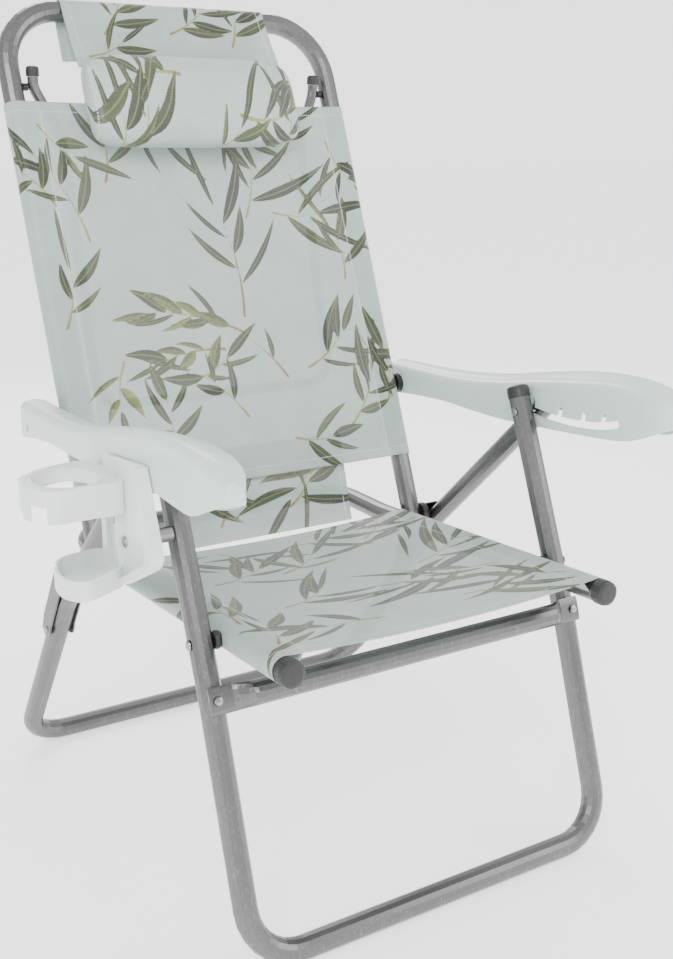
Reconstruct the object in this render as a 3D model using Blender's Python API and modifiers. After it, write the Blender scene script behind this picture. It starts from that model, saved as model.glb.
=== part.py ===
"""High-back reclining beach chair. Metres, +Z up, sitter faces -Y, floor at Z = 0."""
import math

import bmesh
import bpy
from mathutils import Matrix, Vector

# driving sizes
TUBE_R = 0.0127
SUPPORT_R = 0.0065
CAP_R = 0.0141
LEG_CAP_R = 0.0133
GAP = 0.0003
CLOTH = 0.002
WALL = 0.003
WASHER_R = 0.0130

# half widths, from the middle plane to each tube's axis
FRONT_X = 0.230
REAR_X = 0.2605
SEAT_X = 0.1965
BACK_X = 0.223
SUPPORT_TOP_X = 0.197
SUPPORT_X = 0.168

# side view, as (y, z)
TOP_PIN = Vector((0.165, 0.488))
SEAT_PIVOT = Vector((0.100, 0.319))
BACK_PIVOT = Vector((0.377, 0.307))
ARM_PIVOT = BACK_PIVOT + TOP_PIN - SEAT_PIVOT
FRONT_FLOOR = Vector((0.0, TUBE_R))
FRONT_BEND = Vector((0.080, 0.266))
FRONT_TOP = Vector((0.172, 0.503))
REAR_BEND = Vector((0.400, 0.272))
REAR_FLOOR = Vector((0.592, TUBE_R))
LINK_PIVOT = Vector((0.432, 0.2288))
SEAT_FRONT = Vector((-0.012, 0.3238))
SEAT_REAR = Vector((0.528, 0.309))
SEAT_REAR_BEND = Vector((0.405, 0.3058))
HOLDER_BOLT = Vector((0.1317, 0.4257))

BACK_ANGLE = math.radians(68.93)
BACK_DIR = Vector((math.cos(BACK_ANGLE), math.sin(BACK_ANGLE)))
BACK_FRONT = Vector((-BACK_DIR.y, BACK_DIR.x))
BACK_HEIGHT = 0.690
CLOTH_LOW = 0.082
CLOTH_HIGH = 0.569
SUPPORT_AT = 0.592
SUPPORT_LENGTH = 0.392
SUPPORT_LEAN = math.radians(8.0)

# recline: the armrest turns with the back by this share of the back's angle
RECLINE = math.radians(58.0)
ARM_SHARE = 0.692

FINISH = {
    "tube": ((0.52, 0.52, 0.53, 1.0), 0.32, 1.0),
    "rivet": ((0.60, 0.60, 0.61, 1.0), 0.30, 1.0),
    "cap": ((0.075, 0.077, 0.080, 1.0), 0.50, 0.0),
    "bush": ((0.060, 0.060, 0.065, 1.0), 0.55, 0.0),
    "plastic": ((0.74, 0.81, 0.79, 1.0), 0.35, 0.0),
    "fabric": ((0.55, 0.62, 0.59, 1.0), 0.80, 0.0),
    "pillow": ((0.58, 0.63, 0.56, 1.0), 0.75, 0.0),
}

for old in list(bpy.data.objects):
    bpy.data.objects.remove(old, do_unlink=True)


def material(name, finish):
    base, rough, metal = FINISH[finish]
    mat = bpy.data.materials.new(name)
    mat.use_nodes = True
    shader = mat.node_tree.nodes["Principled BSDF"]
    shader.inputs["Base Color"].default_value = base
    shader.inputs["Roughness"].default_value = rough
    shader.inputs["Metallic"].default_value = metal
    return mat


def finish_node(obj, name, finish, smooth=True):
    obj.name = name
    obj.data.name = name
    obj.data.materials.clear()
    obj.data.materials.append(material(name + "_finish", finish))
    for face in obj.data.polygons:
        face.use_smooth = smooth
    return obj


def link(obj):
    bpy.context.scene.collection.objects.link(obj)
    return obj


def move_origin(obj, place):
    """Put an object's origin on its joint's axis, leaving the shape where it is."""
    obj.data.transform(Matrix.Translation(-Vector(place)))
    obj.location = place


def side_point(x, yz):
    return Vector((x, yz[0], yz[1]))


def rounded_path(points, radii, steps=7):
    """A polyline with each inner corner turned into an arc of the given radius."""
    out = [points[0]]
    for before, corner, after, radius in zip(points, points[1:-1], points[2:], radii):
        a = (before - corner).normalized()
        b = (after - corner).normalized()
        half = a.angle(b) / 2
        reach = radius / math.tan(half)
        centre = corner + (a + b).normalized() * (radius / math.sin(half))
        start = corner + a * reach - centre
        end = corner + b * reach - centre
        turn = start.angle(end)
        for i in range(steps + 1):
            t = i / steps
            w0 = math.sin((1 - t) * turn) / math.sin(turn)
            w1 = math.sin(t * turn) / math.sin(turn)
            out.append(centre + start * w0 + end * w1)
    out.append(points[-1])
    return out


def mesh_from(obj, name):
    """A curve turned into a clean mesh object."""
    depsgraph = bpy.context.evaluated_depsgraph_get()
    mesh = bpy.data.meshes.new_from_object(obj.evaluated_get(depsgraph))
    bpy.data.objects.remove(obj, do_unlink=True)
    bm = bmesh.new()
    bm.from_mesh(mesh)
    bmesh.ops.remove_doubles(bm, verts=bm.verts, dist=1e-6)
    bmesh.ops.recalc_face_normals(bm, faces=bm.faces)
    bm.to_mesh(mesh)
    bm.free()
    return link(bpy.data.objects.new(name, mesh))


def tube(name, points, radius, finish="tube", rounds=5):
    """A solid tube along a path, with flat ends."""
    curve = bpy.data.curves.new(name, "CURVE")
    curve.dimensions = "3D"
    curve.bevel_depth = radius
    curve.bevel_resolution = rounds
    curve.use_fill_caps = True
    spline = curve.splines.new("POLY")
    spline.points.add(len(points) - 1)
    for place, point in zip(points, spline.points):
        point.co = (*place, 1.0)
    obj = link(bpy.data.objects.new(name, curve))
    bpy.context.view_layer.update()
    return finish_node(mesh_from(obj, name), name, finish)


def turned(name, profile, place, finish, inward=1.0, steps=24):
    """A profile of (distance along X, radius) points spun about the X axis at a place."""
    mesh = bpy.data.meshes.new(name)
    mesh.from_pydata(
        [(inward * along, 0.0, radius) for along, radius in profile],
        [(i, i + 1) for i in range(len(profile) - 1)],
        [],
    )
    obj = link(bpy.data.objects.new(name, mesh))
    spin = obj.modifiers.new("spin", "SCREW")
    spin.axis = "X"
    spin.angle = math.tau
    spin.steps = steps
    spin.render_steps = steps
    spin.use_merge_vertices = True
    spin.merge_threshold = 1e-5
    spin.use_normal_calculate = True
    bpy.context.view_layer.update()
    obj = mesh_from(obj, name)
    obj.location = place
    return finish_node(obj, name, finish)


def outline_solid(name, points, depth):
    """A closed 2D outline in (u, v) extruded evenly about zero by depth; u is +Y and v is +Z."""
    curve = bpy.data.curves.new(name, "CURVE")
    curve.dimensions = "2D"
    curve.fill_mode = "BOTH"
    curve.extrude = depth / 2
    spline = curve.splines.new("POLY")
    spline.points.add(len(points) - 1)
    spline.use_cyclic_u = True
    for place, point in zip(points, spline.points):
        point.co = (place[0], place[1], 0.0, 1.0)
    obj = link(bpy.data.objects.new(name, curve))
    bpy.context.view_layer.update()
    obj = mesh_from(obj, name)
    obj.data.transform(Matrix(((0, 0, 1, 0), (1, 0, 0, 0), (0, 1, 0, 0), (0, 0, 0, 1))))
    return obj


def box(name, low, high):
    bpy.ops.mesh.primitive_cube_add(size=1.0)
    obj = bpy.context.object
    obj.name = name
    low, high = Vector(low), Vector(high)
    obj.data.transform(Matrix.Diagonal((*(high - low), 1.0)))
    obj.data.transform(Matrix.Translation((low + high) / 2))
    return obj


def rod(name, radius, x0, x1, yz, sides=24):
    bpy.ops.mesh.primitive_cylinder_add(vertices=sides, radius=radius, depth=abs(x1 - x0))
    obj = bpy.context.object
    obj.name = name
    obj.data.transform(Matrix.Rotation(math.pi / 2, 4, "Y"))
    obj.data.transform(Matrix.Translation(side_point((x0 + x1) / 2, yz)))
    return obj


def combine(obj, other, how):
    step = obj.modifiers.new(how.lower(), "BOOLEAN")
    step.operation = how
    step.solver = "EXACT"
    step.object = other
    bpy.ops.object.select_all(action="DESELECT")
    bpy.context.view_layer.objects.active = obj
    obj.select_set(True)
    bpy.ops.object.modifier_apply(modifier=step.name)
    bpy.data.objects.remove(other, do_unlink=True)


def soften(obj, width, segments=2, angle=40):
    """Round the edges sharper than angle."""
    step = obj.modifiers.new("soften", "BEVEL")
    step.width = width
    step.segments = segments
    step.limit_method = "ANGLE"
    step.angle_limit = math.radians(angle)
    bpy.ops.object.select_all(action="DESELECT")
    bpy.context.view_layer.objects.active = obj
    obj.select_set(True)
    bpy.ops.object.modifier_apply(modifier=step.name)


def turn(vector, angle):
    c, s = math.cos(angle), math.sin(angle)
    return Vector((vector[0] * c - vector[1] * s, vector[0] * s + vector[1] * c))


def both_sides():
    """The sitter's right hand is -X and the left hand is +X."""
    return (("right", -1.0), ("left", 1.0))


def along(start, end, share):
    return start + (end - start) * share


def u_frame(x, side_points, bend, corner):
    """Left leg, cross bar and right leg of a U; side_points run from top to floor."""
    down = [side_point(x, p) for p in side_points]
    up = [side_point(-x, p) for p in reversed(side_points)]
    return rounded_path(down + up, [bend] * (len(down) - 2) + [corner] * 2 + [bend] * (len(down) - 2))


def front_frame():
    path = u_frame(FRONT_X, [FRONT_TOP, FRONT_BEND, FRONT_FLOOR], 0.25, 0.055)
    tube("front_leg_frame", path, TUBE_R)
    normal = (FRONT_FLOOR - FRONT_BEND).normalized()
    normal = Vector((normal.y, -normal.x))
    bar = FRONT_BEND + normal * (TUBE_R + 0.0095)
    reach = [FRONT_X + x for x in (0.009, -0.013, -0.017, -0.021, -0.025, -0.029, -0.033, -0.037)]
    bar_points = [side_point(x, bar) for x in reach] + [side_point(-x, bar) for x in reversed(reach)]
    cross = tube("front_crossbar", bar_points, TUBE_R)
    flatten_ends(cross, bar, normal)
    for side, s in both_sides():
        head = FRONT_BEND + normal * (TUBE_R + 0.0052)
        rivet = turned(
            f"crossbar_rivet_{side}",
            [(0.0, 0.0), (0.0, 0.0048), (0.0014, 0.0042), (0.0024, 0.0)],
            (0, 0, 0),
            "rivet",
        )
        rivet.data.transform(Matrix.Rotation(math.atan2(normal.y, normal.x) - math.pi / 2, 4, "X")
                             @ Matrix.Rotation(-math.pi / 2, 4, "Y"))
        rivet.location = side_point(s * FRONT_X, head)
        tube_cap(f"front_leg_cap_{side}", side_point(s * FRONT_X, FRONT_TOP),
                 side_point(0, FRONT_TOP - FRONT_BEND).normalized(), LEG_CAP_R, 0.026)
        turned(f"top_pin_{side}", pin_profile(FRONT_X + TUBE_R + GAP, REAR_X - TUBE_R - GAP, 0.0034),
               side_point(0, TOP_PIN), "rivet", s)
        turned(f"top_pin_head_{side}", head_profile(-(FRONT_X - TUBE_R - GAP), 0.0048, 0.0022),
               side_point(0, TOP_PIN), "rivet", -s)
        turned(f"seat_pivot_spacer_{side}",
               ring_profile(SEAT_X + TUBE_R + GAP, FRONT_X - TUBE_R - GAP, 0.0088, 0.0098),
               side_point(0, SEAT_PIVOT), "bush", s)
        turned(f"seat_pivot_head_{side}", head_profile(FRONT_X + TUBE_R + GAP, 0.0055, 0.0024),
               side_point(0, SEAT_PIVOT), "rivet", s)


def flatten_ends(obj, bar, normal):
    """Press each end of the cross bar flat against the front of its leg."""
    centre = side_point(0, bar)
    across = side_point(0, normal)
    upright = Vector((0, -across.z, across.y))
    flat = 0.14
    for v in obj.data.vertices:
        share = min(max((abs(v.co.x) - (FRONT_X - 0.037)) / 0.022, 0.0), 1.0)
        share = share * share * (3 - 2 * share)
        rel = v.co - centre
        n = rel.dot(across) * (1 - (1 - flat) * share) - 0.0072 * share
        u = rel.dot(upright) * (1 + 0.12 * share)
        v.co = Vector((v.co.x, 0, 0)) + centre + across * n + upright * u


def pin_profile(x0, x1, radius):
    return [(x0, 0.0), (x0, radius), (x1, radius), (x1, 0.0)]


def ring_profile(x0, x1, radius, middle):
    centre = (x0 + x1) / 2
    return [(x0, 0.0), (x0, radius), (centre, middle), (x1, radius), (x1, 0.0)]


def head_profile(x0, radius, height):
    """A domed rivet head that sits on the plane x0 and points along +X."""
    return [(x0, 0.0), (x0, radius), (x0 + height * 0.55, radius * 0.86),
            (x0 + height * 0.9, radius * 0.45), (x0 + height, 0.0)]


def tube_cap(name, end, direction, radius, length):
    """A moulded cap that slips over a tube end: a short collar with a domed top."""
    profile = [(GAP, 0.0), (GAP, radius), (length * 0.35, radius), (length * 0.5, radius * 0.93),
               (length * 0.56, radius * 0.7), (length * 0.58, 0.0)]
    cap = turned(name, profile, end, "cap")
    cap.data.transform(direction.to_track_quat("X", "Z").to_matrix().to_4x4())
    return cap


def rear_frame():
    start = TOP_PIN + (TOP_PIN - REAR_BEND).normalized() * 0.020
    path = u_frame(REAR_X, [start, REAR_BEND, REAR_FLOOR], 0.15, 0.055)
    frame = tube("rear_leg_frame", path, TUBE_R)
    move_origin(frame, side_point(0, TOP_PIN))
    out = side_point(0, TOP_PIN - REAR_BEND).normalized()
    for side, s in both_sides():
        tube_cap(f"rear_leg_cap_{side}", side_point(s * REAR_X, start), out, LEG_CAP_R, 0.022)


def hinge_links():
    """A channel that straddles each rear leg, between the seat's rear pivot and the leg."""
    span = LINK_PIVOT - BACK_PIVOT
    length = span.length
    angle = math.atan2(span.y, span.x)
    eye = 0.0085
    back_plane = 0.0155
    outline = [Vector((eye * math.cos(t), eye * math.sin(t)))
               for t in [math.pi * (1.5 - i / 8) for i in range(9)]]
    outline += [Vector((0.002, back_plane)), Vector((length - 0.012, back_plane)),
                Vector((length + 0.010, 0.011))]
    outline += [Vector((length + 0.012, -0.004)), Vector((length + 0.004, -0.0105)),
                Vector((length - 0.004, -0.0105)), Vector((length - 0.012, -eye))]
    for side, s in both_sides():
        shell = outline_solid(f"link_{side}", outline, 2 * (TUBE_R + 0.0030))
        inside = box("link_inside", (-TUBE_R - 0.0010, -0.05, -0.05),
                     (TUBE_R + 0.0010, length + 0.05, back_plane - 0.0020))
        combine(shell, inside, "DIFFERENCE")
        opening = box("link_open", (-TUBE_R - 0.0010, length - 0.045, -0.05),
                      (TUBE_R + 0.0010, length + 0.05, 0.05))
        combine(shell, opening, "DIFFERENCE")
        shell.data.transform(Matrix.Rotation(angle, 4, "X"))
        shell.data.transform(Matrix.Translation(side_point(0, BACK_PIVOT - LINK_PIVOT)))
        shell.location = side_point(s * REAR_X, LINK_PIVOT)
        finish_node(shell, f"hinge_link_{side}", "tube", False)
        turned(f"link_rivet_{side}", head_profile(REAR_X + TUBE_R + 0.0030 + GAP, 0.0045, 0.0020),
               side_point(0, LINK_PIVOT), "rivet", s)


def seat():
    points = [side_point(-SEAT_X, p) for p in (SEAT_FRONT, SEAT_REAR_BEND, SEAT_REAR)]
    points += [side_point(SEAT_X, p) for p in (SEAT_REAR, SEAT_REAR_BEND, SEAT_FRONT)]
    frame = tube("seat_frame", rounded_path(points, [0.3, 0.045, 0.045, 0.3]), TUBE_R)
    move_origin(frame, side_point(0, SEAT_PIVOT))
    slope = (BACK_PIVOT - SEAT_PIVOT).normalized()
    up = Vector((-slope.y, slope.x))
    low = SEAT_FRONT + slope * 0.004 + up * (TUBE_R + 0.0006)
    far = BACK_PIVOT - slope * 0.014 + up * (TUBE_R + 0.0006)
    outline = [low, far, far + up * CLOTH, low + up * CLOTH]
    cloth = outline_solid("seat_cloth", outline, 2 * (SEAT_X + 0.012))
    finish_node(cloth, "seat_fabric", "fabric", False)
    for side, s in both_sides():
        tube_cap(f"seat_cap_{side}", side_point(s * SEAT_X, SEAT_FRONT),
                 side_point(0, -slope), CAP_R, 0.024)
        turned(f"seat_rear_rivet_{side}", head_profile(-(SEAT_X - TUBE_R - GAP), 0.0055, 0.0024),
               side_point(0, BACK_PIVOT), "rivet", -s)


def back_pivots():
    for side, s in both_sides():
        turned(f"back_pivot_bush_{side}",
               ring_profile(BACK_X + TUBE_R + GAP, REAR_X - TUBE_R - 0.0034, WASHER_R, WASHER_R + 0.0007),
               side_point(0, BACK_PIVOT), "bush", s)


def riser():
    """The flap of seat cloth that stands up behind the back's lower hem."""
    half = CLOTH
    outline = [back_at(0.040, half), back_at(0.078, half), back_at(0.078, -half), back_at(0.040, -half)]
    flap = outline_solid("riser", outline, 0.260)
    move_origin(flap, side_point(0, BACK_PIVOT))
    finish_node(flap, "seat_riser", "fabric", False)


def back_at(height, forward=0.0):
    """A side-view point a distance up the back from its pivot, and forward of its plane."""
    return BACK_PIVOT + BACK_DIR * height + BACK_FRONT * forward


def back():
    low = back_at(-0.022)
    top = back_at(BACK_HEIGHT)
    points = [side_point(-BACK_X, low), side_point(-BACK_X, top)]
    points += [side_point(BACK_X, top), side_point(BACK_X, low)]
    frame = tube("back_frame", rounded_path(points, [0.075, 0.075], 9), TUBE_R)
    move_origin(frame, side_point(0, BACK_PIVOT))
    front = TUBE_R + 0.0006
    outline = [back_at(CLOTH_LOW, front), back_at(CLOTH_HIGH, front)]
    outline += [back_at(CLOTH_HIGH, front + CLOTH), back_at(CLOTH_LOW, front + CLOTH)]
    cloth = outline_solid("back_cloth", outline, 2 * (BACK_X + 0.013))
    finish_node(cloth, "back_fabric", "fabric", False)
    for side, s in both_sides():
        turned(f"support_spacer_{side}",
               pin_profile(SUPPORT_TOP_X + SUPPORT_R + GAP, BACK_X - TUBE_R - GAP, 0.0045),
               side_point(0, back_at(SUPPORT_AT)), "bush", s)


def support_leg():
    pivot = back_at(SUPPORT_AT)
    hang = -turn(BACK_DIR, SUPPORT_LEAN)
    stem = turn(BACK_DIR, math.radians(25.0))
    x0, x1 = SUPPORT_TOP_X, SUPPORT_X
    tip = pivot + stem * 0.012
    low = pivot + hang * SUPPORT_LENGTH
    half = [side_point(x0, tip), side_point(x0, pivot)]
    half += [side_point(x1, along(pivot, low, 0.16)), side_point(x1, low)]
    other = [Vector((-p.x, p.y, p.z)) for p in reversed(half)]
    path = rounded_path(half + other, [0.03, 0.12, 0.03, 0.03, 0.12, 0.03], 5)
    leg = tube("support_leg", path, SUPPORT_R, "tube", 4)
    move_origin(leg, side_point(0, pivot))
    for side, s in both_sides():
        tube_cap(f"support_cap_{side}", side_point(s * x0, tip), side_point(0, stem), 0.0078, 0.022)


def arm_frame_pin(angle):
    """The top pin's place in the armrest's rest frame, when the back has reclined by angle."""
    hinge = BACK_PIVOT + turn(ARM_PIVOT - BACK_PIVOT, -angle)
    return ARM_PIVOT + turn(TOP_PIN - hinge, angle * (1 - ARM_SHARE))


ARM_TOP = [(0.464, 0.492), (0.458, 0.500), (0.440, 0.5045), (0.385, 0.5050), (0.331, 0.5070), (0.281, 0.5115),
           (0.231, 0.5185), (0.165, 0.5310), (0.105, 0.5410), (0.060, 0.5455), (0.020, 0.5460),
           (-0.015, 0.5425), (-0.045, 0.5350), (-0.056, 0.5270), (-0.060, 0.5160)]
ARM_LOW = [(-0.056, 0.5060), (-0.040, 0.4990), (-0.015, 0.4870), (0.010, 0.4795), (0.036, 0.4765),
           (0.110, 0.4715), (0.165, 0.4690), (0.217, 0.4660), (0.278, 0.4665), (0.336, 0.4690), (0.396, 0.4655),
           (0.440, 0.4570), (0.456, 0.4600), (0.464, 0.4720)]


def armrests():
    inner = FRONT_X + TUBE_R + 0.00105
    outer = REAR_X + TUBE_R + 0.0135
    middle = (inner + outer) / 2
    width = outer - inner
    for side, s in both_sides():
        shell = outline_solid("arm_shell", ARM_TOP + ARM_LOW, width)
        soften(shell, 0.0035, 2, 60)
        hollow = [(y, z - 0.0035) for y, z in ARM_TOP[2:-2]]
        hollow += [(-0.040, 0.516), (-0.040, 0.40), (0.455, 0.40)]
        cut = outline_solid("arm_hollow", hollow, width - 2 * WALL)
        combine(shell, cut, "DIFFERENCE")
        combine(shell, skirt_cut(width), "DIFFERENCE")
        for cut in slot_cuts(width):
            combine(shell, cut, "DIFFERENCE")
        hole = rod("arm_hole", 0.0060, width / 2 - 2 * WALL, width / 2 + WALL, ARM_PIVOT, 20)
        combine(shell, hole, "DIFFERENCE")
        shell.data.transform(Matrix.Translation((middle, 0, 0)))
        if s < 0:
            shell.data.transform(Matrix.Scale(-1, 4, (1, 0, 0)))
            shell.data.flip_normals()
        move_origin(shell, side_point(0, ARM_PIVOT))
        finish_node(shell, f"armrest_{side}", "plastic", False)
        turned(f"arm_pivot_bush_{side}", pin_profile(BACK_X + TUBE_R + GAP, inner - GAP, WASHER_R),
               side_point(0, ARM_PIVOT), "bush", s)


NOTCH = [(-0.0043, 0.001), (0.0043, 0.001), (0.0015, 0.0125), (-0.0010, 0.0150), (-0.0050, 0.0145),
         (-0.0058, 0.0110)]


def skirt_cut(width):
    """Removes the lower part of the outer skirt, which is shallower than the inner wall."""
    edge = [(0.430, 0.470), (0.360, 0.4755), (0.292, 0.4760), (0.220, 0.4790), (0.150, 0.4850), (0.074, 0.4900),
            (0.020, 0.4860), (-0.010, 0.4830), (-0.020, 0.4700), (-0.020, 0.430), (0.430, 0.430)]
    cut = outline_solid("skirt", edge, 2 * WALL + 0.004)
    cut.data.transform(Matrix.Translation((width / 2, 0, 0)))
    return cut


def slot_cuts(width):
    """The pin's curved slot through the inner wall, and the raised rests for each recline stop."""
    half = 0.0046
    count = 14
    path = [arm_frame_pin(RECLINE * i / count) for i in range(count + 1)]
    upper = [p + Vector((0, half)) for p in path]
    lower = [p - Vector((0, half)) for p in path]
    start = [path[0] + turn(Vector((0, half)), -math.pi * i / 6) for i in range(1, 6)]
    end = [path[-1] + turn(Vector((0, half)), math.pi * i / 6) for i in range(1, 6)]
    outline = list(reversed(upper)) + start + lower + list(reversed(end))
    cuts = [outline_solid("slot", outline, 3 * WALL)]
    for share in (0.0, 0.28, 0.54, 0.79):
        pin = arm_frame_pin(RECLINE * share)
        notch = [pin + Vector(v) for v in NOTCH]
        cuts.append(outline_solid("notch", notch, 3 * WALL + 0.001))
    for cut in cuts:
        cut.data.transform(Matrix.Translation((-width / 2, 0, 0)))
    return cuts


def cup_holder():
    """A moulded drink and phone holder outside the right armrest, on a spacer from the front leg."""
    plate = -(REAR_X + TUBE_R + 0.016)
    face = plate - WALL / 2
    out, tray_out = -0.372, -0.350
    front, rear = 0.118, 0.217
    tray_front, tray_rear = 0.112, 0.200
    deck, tray = 0.489, 0.382
    outline = [(0.190, 0.505), (0.076, 0.512), (0.047, 0.432), (0.075, tray), (0.205, tray)]
    body = outline_solid("holder", outline, WALL)
    body.data.transform(Matrix.Translation((plate, 0, 0)))
    walls = [
        ((out, front, deck - WALL), (face, rear, deck)),
        ((out, front, deck - 0.034), (face, front + WALL, deck)),
        ((out, front, deck - 0.018), (out + WALL, rear, deck)),
        ((out, rear - WALL, deck - 0.022), (face, rear, deck)),
        ((tray_out, tray_front, tray), (face, tray_rear, tray + WALL)),
        ((tray_out, tray_front, tray), (face, tray_front + WALL, tray + 0.022)),
        ((tray_out, tray_front, tray), (tray_out + WALL, tray_rear, tray + 0.016)),
        ((tray_out, tray_rear - WALL, tray), (face, tray_rear, tray + 0.016)),
        ((-0.318, front + 0.0005, tray + 0.002), (-0.310, front + 0.007, deck - 0.001)),
    ]
    for low, high in walls:
        combine(body, box("wall", low, high), "UNION")
    combine(body, cylinder_up("cup_hole", 0.0340, (-0.331, 0.167), deck - 0.02, deck + 0.02), "DIFFERENCE")
    soften(body, 0.0009, 1, 50)
    finish_node(body, "cup_holder", "plastic", False)
    turned("holder_spacer_right", pin_profile(FRONT_X + TUBE_R + GAP, -plate - WALL / 2 - GAP, 0.0076),
           side_point(0, HOLDER_BOLT), "rivet", -1.0)
    turned("holder_bolt_right", head_profile(-plate + WALL / 2 + GAP, 0.0060, 0.0025),
           side_point(0, HOLDER_BOLT), "rivet", -1.0)


def cylinder_up(name, radius, xy, z0, z1):
    bpy.ops.mesh.primitive_cylinder_add(vertices=40, radius=radius, depth=z1 - z0,
                                        location=(xy[0], xy[1], (z0 + z1) / 2))
    obj = bpy.context.object
    obj.name = name
    return obj


def pillow():
    """The head pillow and the cloth strap that carries it over the top bar."""
    half_width = 0.140
    front = TUBE_R + 0.0040
    low, high = back_at(0.507, front), back_at(0.619, front)
    centre = (low + high) / 2 + BACK_FRONT * 0.026
    bpy.ops.mesh.primitive_cube_add(size=1.0)
    obj = bpy.context.object
    obj.data.transform(Matrix.Diagonal((2 * half_width, 0.052, 0.112, 1.0)))
    soften(obj, 0.022, 4, 30)
    lean = BACK_ANGLE - math.pi / 2
    obj.data.transform(Matrix.Rotation(lean, 4, "X"))
    obj.data.transform(Matrix.Translation(side_point(0, centre)))
    top_bar = side_point(0, back_at(BACK_HEIGHT))
    move_origin(obj, top_bar)
    finish_node(obj, "pillow", "pillow")
    inner = TUBE_R + 0.0012
    outer = inner + CLOTH
    arc = [math.pi * i / 10 for i in range(11)]
    tops = [back_at(BACK_HEIGHT + math.sin(t) * outer, math.cos(t) * outer) for t in arc]
    unders = [back_at(BACK_HEIGHT + math.sin(t) * inner, math.cos(t) * inner) for t in arc]
    outline = [back_at(0.621, outer)] + tops + [back_at(0.634, -outer), back_at(0.634, -inner)]
    outline += list(reversed(unders)) + [back_at(0.621, inner)]
    strap = outline_solid("strap", outline, 2 * half_width)
    move_origin(strap, top_bar)
    finish_node(strap, "pillow_strap", "fabric", False)


front_frame()
rear_frame()
hinge_links()
seat()
back_pivots()
riser()
back()
support_leg()
armrests()
cup_holder()
pillow()
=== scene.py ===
import math

import bpy
import numpy as np
from mathutils import Matrix, Vector


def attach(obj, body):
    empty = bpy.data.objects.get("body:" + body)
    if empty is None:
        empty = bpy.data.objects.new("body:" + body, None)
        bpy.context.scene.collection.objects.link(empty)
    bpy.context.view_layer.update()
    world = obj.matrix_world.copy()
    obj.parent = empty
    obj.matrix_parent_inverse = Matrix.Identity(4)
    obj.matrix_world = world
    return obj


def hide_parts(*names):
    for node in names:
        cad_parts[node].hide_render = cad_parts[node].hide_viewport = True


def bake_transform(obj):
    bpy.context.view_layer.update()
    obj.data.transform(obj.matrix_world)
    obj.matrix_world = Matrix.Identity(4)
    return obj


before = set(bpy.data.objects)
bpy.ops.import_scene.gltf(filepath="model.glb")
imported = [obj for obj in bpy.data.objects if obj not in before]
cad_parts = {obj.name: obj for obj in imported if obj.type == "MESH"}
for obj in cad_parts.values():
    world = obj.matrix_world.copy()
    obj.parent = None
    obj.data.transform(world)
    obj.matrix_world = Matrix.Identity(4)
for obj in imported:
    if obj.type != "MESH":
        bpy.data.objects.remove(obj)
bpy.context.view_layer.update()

# the chair's side view, as (y, z) in metres, and half widths to the tube axes
tubeRadius = 0.0127
seatPivot = Vector((0.100, 0.319))
backPivot = Vector((0.377, 0.307))
seatFront = Vector((-0.012, 0.3238))
armPivot = Vector((0.442, 0.476))
seatX = 0.1965
backX = 0.223
backAngle = math.radians(68.93)
backUp = Vector((math.cos(backAngle), math.sin(backAngle)))
backFront = Vector((-backUp.y, backUp.x))
seatBack = (backPivot - seatPivot).normalized()
seatUp = Vector((-seatBack.y, seatBack.x))
barHeight = 0.690


def note(text):
    print("chair:", text, flush=True)


# skyLight lights the chair, and skySeen is what the camera sees behind it
stageLook = {
    "place": (-0.711, -0.915, 0.791), "tilt": 74.7, "turn": -32.2, "lens": 65.24, "sensor": 36.0,
    "floorSize": 90.0, "floorColour": (0.90, 0.90, 0.90, 1), "floorRough": 0.9, "floorGlow": 1.0,
    "skyLight": 1.45, "skySeen": 2.35,
    # name, place, aim, size, power
    "lamps": (
        ("keyLight", (-1.9, -2.2, 2.6), (0, 0.2, 0.5), 1.6, 95.0),
        ("fillLight", (2.4, -1.6, 1.8), (0, 0.2, 0.5), 1.8, 40.0),
        ("rimLight", (0.6, 2.6, 2.2), (0, 0.3, 0.6), 1.6, 46.0),
    ),
}


def makeStage():
    look = stageLook
    camera = bpy.data.objects.new("camera", bpy.data.cameras.new("camera"))
    bpy.context.scene.collection.objects.link(camera)
    camera.location = look["place"]
    camera.rotation_euler = (math.radians(look["tilt"]), 0.0, math.radians(look["turn"]))
    camera.data.sensor_fit = "HORIZONTAL"
    camera.data.sensor_width = look["sensor"]
    camera.data.lens = look["lens"]
    bpy.context.scene.camera = camera
    bpy.ops.object.select_all(action="DESELECT")
    bpy.ops.mesh.primitive_plane_add(size=look["floorSize"])
    floor = bpy.context.object
    floor.name = "floor"
    paint = newMaterial("floorPaint", Base_Color=look["floorColour"], Roughness=look["floorRough"],
                        Emission_Color=(1, 1, 1, 1), Emission_Strength=look["floorGlow"])[0]
    floor.data.materials.append(paint)
    for name, place, aim, size, power in look["lamps"]:
        lamp = bpy.data.objects.new(name, bpy.data.lights.new(name, "AREA"))
        bpy.context.scene.collection.objects.link(lamp)
        lamp.data.size = size
        lamp.data.energy = power
        lamp.location = place
        lamp.rotation_euler = (Vector(aim) - Vector(place)).to_track_quat("-Z", "Y").to_euler()
    world = bpy.data.worlds.new("sky")
    bpy.context.scene.world = world
    world.use_nodes = True
    background = world.node_tree.nodes["Background"].inputs
    background["Color"].default_value = (1.0, 1.0, 1.0, 1)
    seen = node(world.node_tree, "LightPath").outputs["Is Camera Ray"]
    strength = ramp(world.node_tree, seen, 0.0, 1.0, look["skyLight"], look["skySeen"])
    world.node_tree.links.new(strength, background["Strength"])
    note("stage made")


def node(tree, kind, inputs=None, **settings):
    made = tree.nodes.new("ShaderNode" + kind)
    for name, value in settings.items():
        setattr(made, name, value)
    for key, value in (inputs or {}).items():
        if isinstance(value, bpy.types.NodeSocket):
            tree.links.new(value, made.inputs[key])
        else:
            made.inputs[key].default_value = value
    return made


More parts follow.
